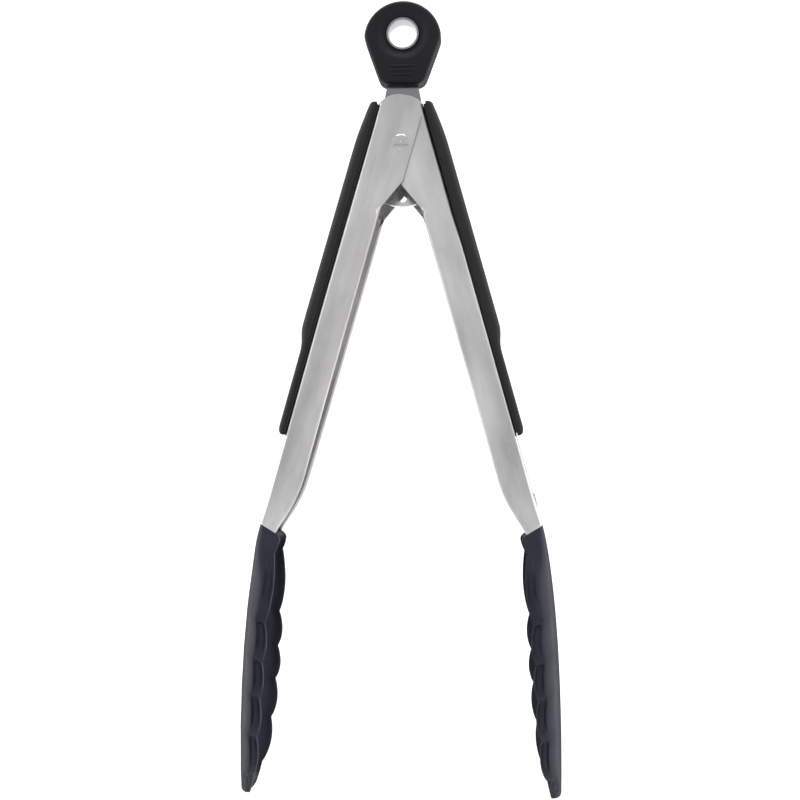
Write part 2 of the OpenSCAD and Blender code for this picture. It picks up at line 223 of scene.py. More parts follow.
# %% Swing a finished piece to its place
OPEN_ANGLE = math.radians(15.8)
LEFT = Matrix.Translation(PIVOT) @ Matrix.Rotation(OPEN_ANGLE, 4, "Y")
SWING = {"left": LEFT, "right": Matrix.Scale(-1, 4, (1, 0, 0)) @ LEFT}


def hang(piece, side):
    """Puts a piece shaped in the arm's frame where its arm rests, and rides it on that arm."""
    piece.data.transform(SWING[side])
    if side == "right":
        piece.data.flip_normals()
    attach(piece, side + "_arm")
    return piece


# %% [markdown]
# ## Steel arms
# Each arm is one strip of stainless sheet, pressed into a channel: a web at the back, two flanges, a round
# lobe at the pivot and a rolled edge that keeps the rim from cutting. The section is drawn as a path from
# one rolled edge, over the flange and round the bend to the web, and repeated down the arm.

# %% Sizes of an arm, in millimetres
SHEET = 0.9
HEM_R, BEND_R = 1.1, 1.8  # the rolled edge, and the bend between flange and web
WEB_X, WEB_TOP, ARM_END = -10.2, 9.2, -129.3
# The lobe has a round top, and reaches past the pivot as far down as its drop
LOBE_CENTRE, LOBE_R, LOBE_X, LOBE_DROP = (-3.0, 7.35), 7.6, 4.0, 11.8
# Below the lobe the flange's edge runs straight, then bends in towards the head
EDGE_X, EDGE_TOP, BEND_TOP = -0.55, -21.9, -111.3
edge_bend = [(EDGE_X, BEND_TOP), (EDGE_X, -120.3), (-3.05, -124.8), (-4.55, -131.0)]
# Half widths: of the arm, of its narrow end, and of the right lobes, which nest in the left ones
ARM_HALF, END_HALF, NEST_HALF = 10.75, 7.0, 9.6
TAPER_TOP, TAPER_LEN, NEST_END, NEST_RUN = -60, 73.3, -25.8, 10


def half_width(z, side):
    """Half of an arm's width at a height."""
    if z < TAPER_TOP:
        return ARM_HALF - (ARM_HALF - END_HALF) * (TAPER_TOP - z) / TAPER_LEN
    if side == "right":
        return NEST_HALF + (ARM_HALF - NEST_HALF) * min(max((NEST_END - z) / NEST_RUN, 0), 1)
    return ARM_HALF


print("length of a web:", WEB_TOP - ARM_END, "mm")


# %% Rows of points down an arm
STRAIGHT_ROWS = (-22.5, -23.2, -24, -25, -26, -28, -31, -34, -37, -45, -52, -60, -70, -80, -90, -100)


def arm_rows():
    """Each row's height at the web, height at the edge, and its two ends across the flange."""
    rows = []
    for degrees in (90, 84, 77, 70, 62, 54, 46, 38, 30, 23):
        z = LOBE_CENTRE[1] + LOBE_R * math.sin(math.radians(degrees))
        reach = LOBE_R * math.cos(math.radians(degrees))
        rows.append((z, z, max(LOBE_CENTRE[0] - reach, WEB_X), min(LOBE_CENTRE[0] + reach, LOBE_X)))
    for z in (WEB_TOP, 5, 0, -5, -9, -LOBE_DROP + 0.4):
        rows.append((z, z, WEB_X, LOBE_X))
    rows.append((-LOBE_DROP, -LOBE_DROP, WEB_X, LOBE_X - 0.1))
    for share in (0.08, 0.25, 0.45, 0.65, 0.82, 0.94, 1.0):
        z = -LOBE_DROP + share * (EDGE_TOP + LOBE_DROP)
        rows.append((z, z, WEB_X, LOBE_X + share * (EDGE_X - LOBE_X)))
    for z in (*STRAIGHT_ROWS, BEND_TOP + 4):
        rows.append((z, z, WEB_X, EDGE_X))
    for k in range(15):
        x, z = bezier(edge_bend, k / 14)
        web_z = BEND_TOP + (ARM_END - BEND_TOP) * (z - BEND_TOP) / (edge_bend[3][1] - BEND_TOP)
        rows.append((web_z, z, WEB_X, x))
    return rows


rows = arm_rows()
print("rows of an arm:", len(rows))

# %% The section of a channel
HEM_STEPS, FLANGE_STEPS, BEND_STEPS, WEB_STEPS = 9, 8, 6, 6
HALF_STEPS = HEM_STEPS + FLANGE_STEPS + BEND_STEPS + WEB_STEPS


def flange_point(step, x_web, x_edge, curl, bent):
    """A point of the section's front half: how far across, and how far in from the flange's face."""
    span = x_edge - x_web
    angle = math.pi * max(curl, 0.02)
    radius = min(math.pi * HEM_R, 0.3 * span) / angle
    bend = min(BEND_R, 0.2 * span)
    x_start = x_edge - radius * math.sin(min(angle, math.pi / 2))
    if step <= HEM_STEPS:
        a = angle * (1 - step / HEM_STEPS)
        return x_start + radius * math.sin(a), radius * (1 - math.cos(a))
    step -= HEM_STEPS
    if step <= FLANGE_STEPS:
        return x_start + (x_web + bend - x_start) * step / FLANGE_STEPS, 0.0
    step -= FLANGE_STEPS
    if step <= BEND_STEPS:
        a = math.pi / 2 * step / BEND_STEPS
        if not bent:
            return x_web + bend * (1 - step / BEND_STEPS), 0.0
        return x_web + bend * (1 - math.sin(a)), bend * (1 - math.cos(a))
    return x_web, None


def arm_point(side):
    """How the points of one arm are placed: the front half's section, mirrored for the rear."""
    def place(column, row):
        web_z, edge_z, x_web, x_edge = rows[row]
        front = column <= HALF_STEPS
        step = column if front else 2 * HALF_STEPS - column
        curl = ramp(-edge_z, 21.0, 25.5)
        x, depth = flange_point(step, x_web, x_edge, curl, web_z <= WEB_TOP + 0.01)
        z = web_z + (edge_z - web_z) * min(max((x - x_web) / (x_edge - x_web + 1e-6), 0), 1)
        half = half_width(z, side)
        if depth is None:
            share = (step - HALF_STEPS + WEB_STEPS) / WEB_STEPS
            depth = BEND_R + (half - BEND_R) * share
        return x, (depth - half) * (1 if front else -1), z
    return place


print("points across a channel:", 2 * HALF_STEPS + 1)

# %% [markdown]
# A tongue is cut and bent out of each web to meet the lock. It is hidden from the front, but shows from
# below, so two small bars, joined where the strip is bent, are enough. The sheet is pressed as a surface
# without thickness, and Solidify then gives it its gauge, with the rim in a material slot of its own.

# %% Press the two arms
TONGUE_W = 5.2


def catch_tongue():
    shelf = bar((-6.75, 0, -7.95), (5.7, TONGUE_W, SHEET))
    lip = bar((-3.85, 0, -9.5), (SHEET, TONGUE_W, 4.0))
    made = join([shelf, lip], "tongue")
    round_edges(made, 0.15)
    return made


def make_arm(side):
    arm = pressed_grid(side + "_arm_steel", 2 * HALF_STEPS + 1, len(rows), arm_point(side))
    for part in ("face", "edge"):
        arm.data.materials.append(bpy.data.materials.new(f"{side}_arm_{part}"))
    # Above the web only the two lobes are left
    select_faces(arm, lambda c: c.z > WEB_TOP + 0.02 and abs(c.y) < half_width(c.z, side) - BEND_R)
    bpy.ops.mesh.delete(type="FACE")
    bpy.ops.object.mode_set(mode="OBJECT")
    close_up(arm, fill=False)
    # A face in the middle of the web shows which way round the sheet is
    web = [p for p in arm.data.polygons
           if abs(p.center.z + 50 * MM) < 15 * MM and abs(p.center.y) < 2 * MM]
    if web[0].normal.x > 0:
        arm.data.flip_normals()
    modify(arm, "SOLIDIFY", thickness=SHEET * MM, offset=-1, material_offset_rim=1)
    round_edges(arm, 0.16, angle=50)
    arm = join([arm, catch_tongue()], side + "_arm_steel")
    shade(arm, 35)
    hang(arm, side)
    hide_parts(side + "_arm")
    return arm


arms = {side: make_arm(side) for side in ("left", "right")}
print("arm:", len(arms["left"].data.polygons), "faces")

# %% [markdown]
# ## Soft grips
# The grip is a pad of soft thermoplastic rubber on the back of each arm. It is thick at the palm, drops
# at a thumb step, and its outer edges are well rounded. One section is repeated down its length. Both
# grips come from the same mould, so one is modelled and the other is its copy.

# %% The outline of a grip, seen from the front
BASE_X = WEB_X - 0.8
GRIP_TOP = [(BASE_X, 10.6), (-12.6, 10.6), (-13.1, 10.3), (-13.3, 9.4)]
GRIP_CROWN = [(-13.3, 9.4), (-13.8, 5.6), (-14.5, 0.6), (-14.5, -6)]
GRIP_STEP = [(-14.5, -64), (-14.5, -68), (-12.85, -69), (-12.85, -73)]
GRIP_TAIL = [(-12.85, -97), (-12.85, -99), (-12.25, -100), (BASE_X, -100)]


def grip_outline():
    outline = [bezier(GRIP_TOP, k / 10) for k in range(10)]
    outline += [bezier(GRIP_CROWN, k / 12) for k in range(13)]
    outline += [Vector((-14.5, z)) for z in range(-12, -61, -8)]
    outline += [bezier(GRIP_STEP, k / 10) for k in range(11)]
    outline += [Vector((-12.85, z)) for z in (-78, -84, -90)]
    outline += [bezier(GRIP_TAIL, k / 10) for k in range(11)]
    return outline


grip_line = grip_outline()
print("rows of a grip:", len(grip_line))

# %% Mould the grips
# Half of a section: up the side, round the edge, and over the crowned back to the middle
grip_half = [("side", k / 5) for k in range(5)] + [("round", k / 8) for k in range(8)]
grip_half += [("back", k / 8) for k in range(9)]
GRIP_INSET, GRIP_EDGE_R, GRIP_CROWN_H = 0.3, 2.4, 0.35


def grip_point(column, row):
    x_out, z = grip_line[row]
    front = column < len(grip_half)
    part, share = grip_half[column if front else 2 * len(grip_half) - 2 - column]
    half = half_width(z, "left") - GRIP_INSET
    thick = BASE_X - x_out
    radius = min(GRIP_EDGE_R, 0.8 * thick)
    crown = GRIP_CROWN_H * min(thick, 1)
    if part == "side":
        x, y = BASE_X - (thick - radius) * share, half
    elif part == "round":
        a = math.pi / 2 * share
        x, y = x_out + radius * (1 - math.sin(a)), half - radius * (1 - math.cos(a))
    else:
        x, y = x_out + crown - crown * math.sin(math.pi / 2 * share), (half - radius) * (1 - share)
    return x, -y if front else y, z


grip = pressed_grid("left_grip_rubber", 2 * len(grip_half) - 1, len(grip_line), grip_point)
close_up(grip)
round_edges(grip, 0.25, segments=2, angle=50)
shade(grip, 50)
grips = {"left": grip, "right": twin(grip, "right_grip_rubber")}
for side, piece in grips.items():
    hang(piece, side)
    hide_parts(side + "_grip")
print("grip:", len(grips["left"].data.polygons), "faces")

# %% [markdown]
# ## Silicone heads
# A head is a shallow scoop moulded in silicone over a stiff insert. Its rim runs in scallops, and at each
# notch between two scallops the side wall is pinched in, which makes a short flute. The closed section,
# outside, rim, inside and rim again, is repeated from the collar to the tip, so the wall has its real
# thickness and no modifier has to find it.

# %% Sizes and curves of a head, in millimetres
HEAD_WALL, HEAD_LEN = 2.0, 84.7
HEAD_BACK = [(-10.5, -129.2), (-10.2, -150.1), (0.2, -190.0), (6.7, -212.3)]
HEAD_RIM = [(-3.6, -131.3), (-1.7, -152.0), (10.3, -190.6), (10.4, -211.5)]
HEAD_HALVES = (7.3, 19.0, 24.0, 6.5)
END_SLOPE = 0.3
TIP_R = 1.9
HEAD_ROWS = 160
TIP_ROWS = (0.2, 0.38, 0.54, 0.68, 0.8, 0.89, 0.95, 0.985)
head_shares = [k / HEAD_ROWS for k in range(HEAD_ROWS + 1)] + [1 + e for e in TIP_ROWS]
print("rows of a head:", len(head_shares))

# %% [markdown]
# The notches aren't evenly spaced: the first scallop below the collar is long, and the rest are shorter.
# A notch pinches the wall in, and a shallow pocket below it shades the start of each scallop.

# %% Scallops along the rim
NOTCHES = [HEAD_LEN * share for share in (-0.04, 0.065, 0.315, 0.451, 0.578, 0.724, 0.882)]
SCALLOP_H, SCALLOP_SCALES = 1.3, (0.7, 1.25, 1, 1, 1, 1)
PINCH, POCKET = 1.3, 1.2
COLLAR_CORNER_R = 1.2


def scallop(drop):
    """The number of the scallop at this distance below the top, and the share of the way along it."""
    for k in range(len(NOTCHES) - 1):
        if drop < NOTCHES[k + 1]:
            return k, (drop - NOTCHES[k]) / (NOTCHES[k + 1] - NOTCHES[k])
    return None, min((drop - NOTCHES[-1]) / 10, 0.5)


def rim_shape(drop):
    """The rim's lift, how full the scallop is and its pocket's depth, at a distance below the top."""
    number, phase = scallop(drop)
    wave = max(math.sin(math.pi * phase), 0) ** 0.75
    corner = max(COLLAR_CORNER_R - drop, 0)
    lift = math.sqrt(COLLAR_CORNER_R ** 2 - corner ** 2) - COLLAR_CORNER_R
    pocket = 0.0
    if number is not None:
        lift += SCALLOP_H * SCALLOP_SCALES[number] * wave
    if number:
        pocket = POCKET * ramp(phase, 0, 0.4 if number == 1 else 0.07) * (1 - ramp(phase, 0.55, 0.98))
    return lift, wave, pocket


print("notches below the top of a head:", [round(notch, 1) for notch in NOTCHES])

# %% [markdown]
# Each section is worked out in its own plane: how far out from the back a point lies, and how far to the
# side it reaches. The back is an arch, a band of side wall carries the flutes, the rim is flat and the
# scoop is a second arch inside. Near the collar and near the tip the scoop is filled.

# %% One closed section of a head
half_section = [("arch", k / 18) for k in range(19)] + [("band", k / 9) for k in range(1, 10)]
half_section += [("rim", k / 3) for k in (1, 2)] + [("scoop", 1 - k / 22) for k in range(23)]
BAND_SHARE, RIM_LEFT = 0.36, 0.4
DIMPLE_X, DIMPLE_Z, DIMPLE_W, DIMPLE_H, DIMPLE_DEPTH = 8.3, -208.6, 1.3, 2.6, 0.7


def dimpled(reach, x, z):
    """Presses in the small dimple on each side of the tip."""
    far = math.hypot((x - DIMPLE_X) / DIMPLE_W, (z - DIMPLE_Z) / DIMPLE_H)
    return max(reach - DIMPLE_DEPTH * (1 - ramp(far, 0.6, 1.15)) * ramp(reach, 0, 3), 0)


def head_section(t):
    """The section at a share t of the head's length. Past 1 it is part of the rounded tip."""
    s, e = min(t, 1.0), max(t - 1, 0.0)
    shrink = math.sqrt(1 - e * e)
    back, rim = bezier(HEAD_BACK, s), bezier(HEAD_RIM, s)
    lift, wave, pocket = rim_shape(max(HEAD_RIM[0][1] - rim.y, 0))
    rim += Vector((1, -END_SLOPE)) * lift
    across = (rim - back).normalized()
    along = Vector((across.y, -across.x))
    depth = (rim - back).length * shrink
    foot = (back + rim) / 2 - across * depth / 2 + along * TIP_R * e
    half = bezier([(w, 0) for w in HEAD_HALVES], s).x * shrink
    wall, band = min(HEAD_WALL, 0.5 * half), BAND_SHARE * depth
    filled = (1 - t / 0.2) ** 2 if t < 0.2 else min((t - 0.88) / 0.1, 1) ** 2 if t > 0.88 else 0
    floor = min(HEAD_WALL, depth - RIM_LEFT)
    floor += (depth - RIM_LEFT - floor) * filled
    round_power = 0.5 + 0.4 * ramp(t, 0.0, 0.25)
    turn = math.radians(90 - 26 * ramp(t, 0.0, 0.25))
    pinch = PINCH * (1 - wave) * ramp(t, 0.05, 0.15) * (1 - ramp(t, 0.93, 1.0))
    section = []
    for part, share in half_section:
        if part == "arch":
            a = turn * share
            fall = max((math.cos(a) - math.cos(turn)) / (1 - math.cos(turn)), 0)
            out = (depth - band) * (1 - fall ** round_power)
            reach = half * (math.sin(a) / math.sin(turn)) ** round_power - 0.5 * pinch * ramp(share, 0.6, 1)
        elif part == "band":
            out = depth - band * (1 - share)
            sunk = pocket * ramp(share, 0, 0.22) * (1 - 0.8 * ramp(share, 0.6, 1))
            reach = half - pinch * (0.5 + 0.5 * share) - sunk
        elif part == "rim":
            out = depth
            reach = half - pinch - 0.2 * pocket - (wall - 0.6 * pinch) * share
        else:
            a = math.pi / 2 * share
            out = floor + (depth - floor) * (1 - max(math.cos(a), 0) ** 0.6)
            reach = (half - wall - 0.4 * pinch * ramp(share, 0.5, 1)) * math.sin(a) ** 0.6
        x, z = foot + across * out
        if part in ("arch", "band"):
            reach = dimpled(reach, x, z)
        section.append((x, -reach, z))
    return section + [(x, -y, z) for x, y, z in reversed(section)]


print("points round a head:", 2 * len(half_section))

# %% Mould the heads
head_sections = [head_section(t) for t in head_shares]
head = pressed_grid("left_head_silicone", 2 * len(half_section), len(head_sections),
                    lambda column, row: head_sections[row][column])
close_up(head)
round_edges(head, 0.6, segments=3, angle=50)
shade(head, 60)
heads = {"left": head, "right": twin(head, "right_head_silicone")}
for side, piece in heads.items():
    hang(piece, side)
    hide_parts(side + "_head")
print("head:", len(heads["left"].data.polygons), "faces")

# %% [markdown]
# ## Pull tab
# The hanging loop is one moulding with a dished hole, well rounded outer edges and a square foot. Seen
# from the hole's centre, the outline is a distance that changes with the angle, so the tab is a ring whose
# profile, from the hole over the dish to the outer edge and back, is repeated round the hole.

# %% The outline of the tab
LOOP_R, LOOP_BELOW_HOLE = 12.6, 2.0
LOOP_LOWEST = -0.42  # the sine of the lowest direction in which the outline is still the loop's circle
# Each straight edge: the angle of its outward normal and its distance from the hole
TAB_EDGES = [(-20, 12.3), (-56, 17.0), (-90, 16.7), (-124, 17.0), (-160, 12.3)]
CORNER_POWER = 50  # a higher power gives sharper corners between the edges


def outline(a):
    """Distance from the hole's centre to the tab's outline in the direction a."""
    lift = LOOP_BELOW_HOLE * math.sin(a)
    circle = -lift + math.sqrt(LOOP_R ** 2 - LOOP_BELOW_HOLE ** 2 + lift * lift)
    nearness = [1 / circle] if math.sin(a) > LOOP_LOWEST else []
    for normal, distance in TAB_EDGES:
        nearness.append(max(math.cos(a - math.radians(normal)), 0.01) / distance)
    return sum(n ** CORNER_POWER for n in nearness) ** (-1 / CORNER_POWER)


print("tab, from the hole up and down:", round(outline(math.pi / 2), 2), round(outline(-math.pi / 2), 2))

# %% Mould the tab
TAB_HALF, TAB_EDGE_R, TAB_COLUMNS = 4.25, 1.2, 144
BORE_R, DISH_R, DISH_FLOOR = 5.4, 8.8, 2.8


def tab_profile(edge):
    """The front half of the ring's profile, as distances from the hole's centre and from the middle."""
    points = [(BORE_R, 0), (BORE_R, DISH_FLOOR - 0.2), (BORE_R + 0.2, DISH_FLOOR)]
    for k in range(1, 13):
        share = k / 12
        rise = share * share * (3 - 2 * share)
        height = DISH_FLOOR + (TAB_HALF - DISH_FLOOR) * rise
        points.append((BORE_R + 0.2 + (DISH_R - BORE_R) * share, height))
    rim_to = DISH_R + 0.2
    face_end = edge - TAB_EDGE_R
    for k in (1, 2, 3):
        points.append((rim_to + (face_end - rim_to) * k / 3, TAB_HALF))
    for k in range(1, 8):
        a = math.pi / 2 * k / 7
        points.append((face_end + TAB_EDGE_R * math.sin(a), TAB_HALF - TAB_EDGE_R * (1 - math.cos(a))))
    points.append((edge, 0))
    return points


def tab_point(column, row):
    a = 2 * math.pi * column / TAB_COLUMNS
    profile = tab_profile(outline(a))
    turns = len(profile) - 1
    r, y = profile[row] if row <= turns else profile[2 * turns - row]
    return r * math.cos(a), -y if row <= turns else y, r * math.sin(a)


RIBS = ((8.6, 11.0), (7.8, 12.4), (7.0, 13.8))  # width, and distance below the hole
RIB_RISE, RIB_H, RIB_EDGE = 0.5, 0.7, 0.24


def grip_rib(width, below_hole, face):
    """A low rib for the fingertip, half sunk in one face of the tab."""
    rib = bar((0, face * TAB_HALF, -below_hole), (width, RIB_RISE, RIB_H))
    modify(rib, "BEVEL", width=RIB_EDGE * MM, segments=3)
    return rib


tab = pressed_grid("pull_tab_moulding", TAB_COLUMNS + 1, 2 * len(tab_profile(12)) - 1, tab_point)
close_up(tab, fill=False)
ribs = [grip_rib(*size, face) for size in RIBS for face in (-1, 1)]
tab = join([tab, *ribs], "pull_tab_moulding")
shade(tab, 45)
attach(tab, "tab")
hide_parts("pull_tab")
print("tab:", len(tab.data.polygons), "faces")

# %% [markdown]
# ## Turned pieces
# The eyelet and the pivot rivet are round about one axis, as if they had been turned, so each is a closed
# profile carried round that axis. The eyelet's lips are rolled over the tab, and the rivet has a low dome
# at each end.

# %% Turn the eyelet and the pivot rivet
def turned(name, profile, columns=96):
    """A closed profile of radius and height, carried round the Y axis through the origin."""
    def place(column, row):
        a = 2 * math.pi * column / columns
        r, y = profile[row % len(profile)]
        return r * math.cos(a), y, r * math.sin(a)
    piece = pressed_grid(name, columns + 1, len(profile) + 1, place)
    close_up(piece, fill=False)
    shade(piece, 35)
    return piece


def arc(centre, radius, start, end, steps):
    angles = [math.radians(start + (end - start) * k / steps) for k in range(steps + 1)]
    return [(centre[0] + radius * math.cos(a), centre[1] + radius * math.sin(a)) for a in angles]


EYELET_R, EYELET_Y, LIP = 5.0, 2.95, 0.4
ring_profile = arc((EYELET_R, EYELET_Y), LIP, 180, 0, 8) + arc((EYELET_R, -EYELET_Y), LIP, 0, -180, 8)
ring = turned("hang_ring_eyelet", ring_profile)
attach(ring, "tab")
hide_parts("hang_ring")


def dome(radius, height, at, steps=12):
    """A cap of a sphere, from its edge up to the axis."""
    ball = (radius * radius + height * height) / (2 * height)
    edge = math.asin(radius / ball)
    angles = [edge * (1 - k / steps) for k in range(steps + 1)]
    return [(ball * math.sin(a), at + height - ball * (1 - math.cos(a))) for a in angles]


DOME_R, DOME_H, SHANK_R, SEAT = 2.6, 0.9, 1.5, ARM_HALF
half_rivet = [(SHANK_R, 0), (SHANK_R, SEAT), (DOME_R - 0.1, SEAT)] + dome(DOME_R, DOME_H - 0.1, SEAT + 0.1)
POLE_R = 0.001  # small enough to be merged to one point
half_rivet[-1] = (POLE_R, SEAT + DOME_H)
rivet_profile = [(r, -y) for r, y in reversed(half_rivet)] + half_rivet[1:]
rivet = turned("pivot_rivet_steel", rivet_profile + [(POLE_R, 0)])
rivet.data.transform(Matrix.Translation(PIVOT))
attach(rivet, "hinge")
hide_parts("pivot_rivet")
print("rivet:", len(rivet.data.polygons), "faces, eyelet:", len(ring.data.polygons))

# %% [markdown]
# ## Springs
# Two torsion springs push the arms apart. The coil rides on the hinge and each leg leans on a web, so in the
# real tongs a leg bends between the hinge and its arm. Here the coil and the legs are separate pieces that
# meet, and the legs stay where they rest.

# %% Where the spring wire runs
COIL_R, WIRE_R, COIL_FROM, COIL_PITCH, TURNS, LEG_DROP = 3.1, 0.55, 3.3, 1.18, 3, 16.0
WEB_GAUGE, LEG_GAP = 1.0, 0.12  # the web in the frame, and the air between it and a leg
leg_x = WEB_X + WEB_GAUGE + WIRE_R + LEG_GAP
leg_end = Vector((leg_x * math.cos(OPEN_ANGLE) - LEG_DROP * math.sin(OPEN_ANGLE),
                  -leg_x * math.sin(OPEN_ANGLE) - LEG_DROP * math.cos(OPEN_ANGLE)))
start_angle = math.atan2(leg_end.y, leg_end.x) - math.acos(COIL_R / leg_end.length)
sweep = 2 * (start_angle % (2 * math.pi)) - math.pi + 2 * math.pi * TURNS
coil_end = COIL_FROM + COIL_PITCH * sweep / (2 * math.pi)
print("the wire winds through", round(math.degrees(sweep)), "degrees")


def wire(name, path, radius, rear):
    """A round wire along a path that winds about Y. A rear one is mirrored."""
    sides = 12
    turn = 1 if rear else -1

    def place(column, row):
        here = path[row]
        along = (path[min(row + 1, len(path) - 1)] - path[max(row - 1, 0)]).normalized()
        out = along.cross(Vector((0, 1, 0))).normalized()
        up = along.cross(out)
        a = 2 * math.pi * column / sides
        point = here + radius * (out * math.cos(a) + up * math.sin(a))
        return point.x, point.y * turn, point.z
    piece = pressed_grid(name, sides + 1, len(path), place)
    close_up(piece)
    shade(piece, 50)
    piece.data.transform(Matrix.Translation(PIVOT))
    return piece


# %% Wind the springs
def coil_path():
    steps = 26 * TURNS
    path = []
    for k in range(steps + 1):
        a = start_angle - sweep * k / steps
        y = COIL_FROM + (coil_end - COIL_FROM) * k / steps
        path.append(Vector((COIL_R * math.cos(a), y, COIL_R * math.sin(a))))
    return path


def leg_path(side, coil):
    near, far_y = (coil[0], COIL_FROM) if side == "left" else (coil[-1], coil_end)
    end = Vector((leg_end.x * (1 if side == "left" else -1), far_y, leg_end.y))
    return [near.lerp(end, k / 12) for k in range(13)]


coil = coil_path()
spring_pieces = []
for place_name, is_rear in (("front", False), ("rear", True)):
    spring = wire(place_name + "_spring_coil", coil, WIRE_R, is_rear)
    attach(spring, "hinge")
    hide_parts(place_name + "_spring")
    spring_pieces.append(spring)
    for side in ("left", "right"):
        leg = wire(f"{place_name}_spring_{side}_leg", leg_path(side, coil), WIRE_R, is_rear)
        spring_pieces.append(leg)
        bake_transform(leg)
print("spring pieces:", len(spring_pieces))

# %% [markdown]
# ## Finishes
# Each finish starts from what the material is and how its surface was made. Colours are written as the
# hex values that a screen shows, and one function turns them into the linear values that Cycles mixes.

# %% Helpers for materials
def linear(hex_colour):
    parts = [int(hex_colour[k:k + 2], 16) / 255 for k in (1, 3, 5)]
    return (*[p / 12.92 if p <= 0.04045 else ((p + 0.055) / 1.055) ** 2.4 for p in parts], 1)


def add(tree, kind, inputs=None, **settings):
    """Adds a node with its settings; an input is either a value or another node's output."""
    made = tree.nodes.new("ShaderNode" + kind)
    for name, value in settings.items():
        setattr(made, name, value)
    for socket, value in (inputs or {}).items():
        if isinstance(value, bpy.types.NodeSocket):
            tree.links.new(value, made.inputs[socket])
        else:
            made.inputs[socket].default_value = value
    return made


def finish(name, **constants):
    """A new material, and its shader with the constants on the shader's own sockets."""
    material = bpy.data.materials.new(name)
    material.use_nodes = True
    shader = material.node_tree.nodes["Principled BSDF"]
    for socket, value in constants.items():
        shader.inputs[socket.replace("_", " ")].default_value = value
    return material, material.node_tree, shader


def per_mm(millimetres):
    """The scale that makes one step of a pattern this long."""
    return 1 / (millimetres * MM)


def paint(piece, material):
    piece.data.materials.clear()
    piece.data.materials.append(material)


# %% Helpers for patterns
def noise(tree, place, scale, detail, roughness=0.5):
    inputs = {"Vector": place, "Scale": scale, "Detail": detail, "Roughness": roughness}
    return add(tree, "TexNoise", inputs).outputs["Fac"]


def mapped(tree, value, low, high, to_low=0.0, to_high=1.0):
    """Stretches the values from low to high over the range from to_low to to_high."""
    inputs = {"Value": value, "From Min": low, "From Max": high, "To Min": to_low, "To Max": to_high}
    return add(tree, "MapRange", inputs).outputs["Result"]


def combined(tree, operation, *values):
    inputs = dict(enumerate(values))
    return add(tree, "Math", inputs, operation=operation).outputs["Value"]


def mixed(tree, factor, first, second):
    """A colour between two others. Sockets 6, 7 and 2 are the colour ones of the Mix node."""
    return add(tree, "Mix", {"Factor": factor, 6: first, 7: second}, data_type="RGBA").outputs[2]


def surface(tree, shader, colour, rough, relief, strength, depth_mm):
    """Links a colour, a roughness and a fine relief to the shader."""
    bump = add(tree, "Bump", {"Height": relief, "Strength": strength, "Distance": depth_mm * MM})
    tree.links.new(colour, shader.inputs["Base Color"])
    tree.links.new(rough, shader.inputs["Roughness"])
    tree.links.new(bump.outputs["Normal"], shader.inputs["Normal"])


# %% [markdown]
# ### Brushed stainless steel
# The sheet is ground with a fine belt along its length before it is pressed, which leaves hairlines a few
# hundredths of a millimetre apart. They are drawn about ten times coarser so that they show. Handling adds
# soft clouds of slightly different gloss, drawn out the same way.

# %% Brushed steel for the arms
HAIR, CLOUD = (0.35, 0.35, 22), (11, 11, 38)  # steps of the hairlines and of the clouds, in millimetres
NECK_SHADE_FROM, NECK_SHADE_TO = 6, 13  # where the painted shade on the slider's neck fades in, in millimetres above the pivot


def brushed_steel(name, lean, light="#f0eeef", dark="#cdcbcc", low=0.27, high=0.4):
    """Steel ground along a line that leans by this angle from the vertical."""
    material, tree, shader = finish(name, Metallic=1.0)
    place = add(tree, "TexCoord").outputs["Object"]
    upright = add(tree, "Mapping", {"Vector": place, "Rotation": (0, lean, 0)}).outputs["Vector"]

    def drawn_out(steps, roughness):
        scale = [per_mm(step) for step in steps]
        stretched = add(tree, "Mapping", {"Vector": upright, "Scale": scale}).outputs["Vector"]
        return noise(tree, stretched, 1.0, 3.0, roughness)

    hair, cloud = drawn_out(HAIR, 0.6), drawn_out(CLOUD, 0.5)
    tone = mixed(tree, mapped(tree, cloud, 0.35, 0.65), linear(dark), linear(light))
    streak = mapped(tree, hair, 0.3, 0.7, 0.965, 1.03)
    colour = add(tree, "VectorMath", {0: tone, 1: streak}, operation="MULTIPLY").outputs["Vector"]
    rough = mapped(tree, combined(tree, "ADD", hair, cloud), 0.7, 1.3, low, high)
    surface(tree, shader, colour, rough, hair, 0.06, 0.06)
    return material


def paint_neck_shade(material, colour):
    """Paints shade up the slider's neck: the material's colour turns into a darker one there, for the shadow
    under the tab.
    """
    tree = material.node_tree
    base = tree.nodes["Principled BSDF"].inputs["Base Color"]
    height = add(tree, "SeparateXYZ", {"Vector": add(tree, "TexCoord").outputs["Object"]}).outputs["Z"]
    share = mapped(tree, height, PIVOT.z + NECK_SHADE_FROM * MM, PIVOT.z + NECK_SHADE_TO * MM)
    tree.links.new(mixed(tree, share, base.links[0].from_socket, linear(colour)), base)


# A sheared edge is rougher than a face, and its colour is painted darker as the shade in the seams between
# the sheets, so it draws a thin grey line round each sheet
sheared_edge_shade = brushed_steel("sheared_steel_edge_painted_shade", 0.0, "#8c8c8e", "#77777a", 0.4, 0.6)
# Belt ground faces give pale highlights that are long and soft, and run along the arm
for side, lean in (("left", -OPEN_ANGLE), ("right", OPEN_ANGLE)):
    arms[side].data.materials[0] = brushed_steel("belt_ground_stainless_" + side, lean)
    arms[side].data.materials[1] = sheared_edge_shade
# The slider's plate is smoother, so its slotted end shines; up its neck a darker grey is painted as the
# shade under the tab
slider_steel = brushed_steel("stamped_stainless_sheet", 0.0, "#f0f0f1", "#dcdcde", 0.14, 0.26)
paint_neck_shade(slider_steel, "#97989c")
paint(frame["nodes"]["lock_slider"], slider_steel)
print("brushed:", sheared_edge_shade.name, slider_steel.name, [arms[side].data.materials[0].name for side in arms])

# %% [markdown]
# ### Polished steel
# The rivet heads and the eyelet are tumbled bright: nearly a mirror, with fine random scuffs.

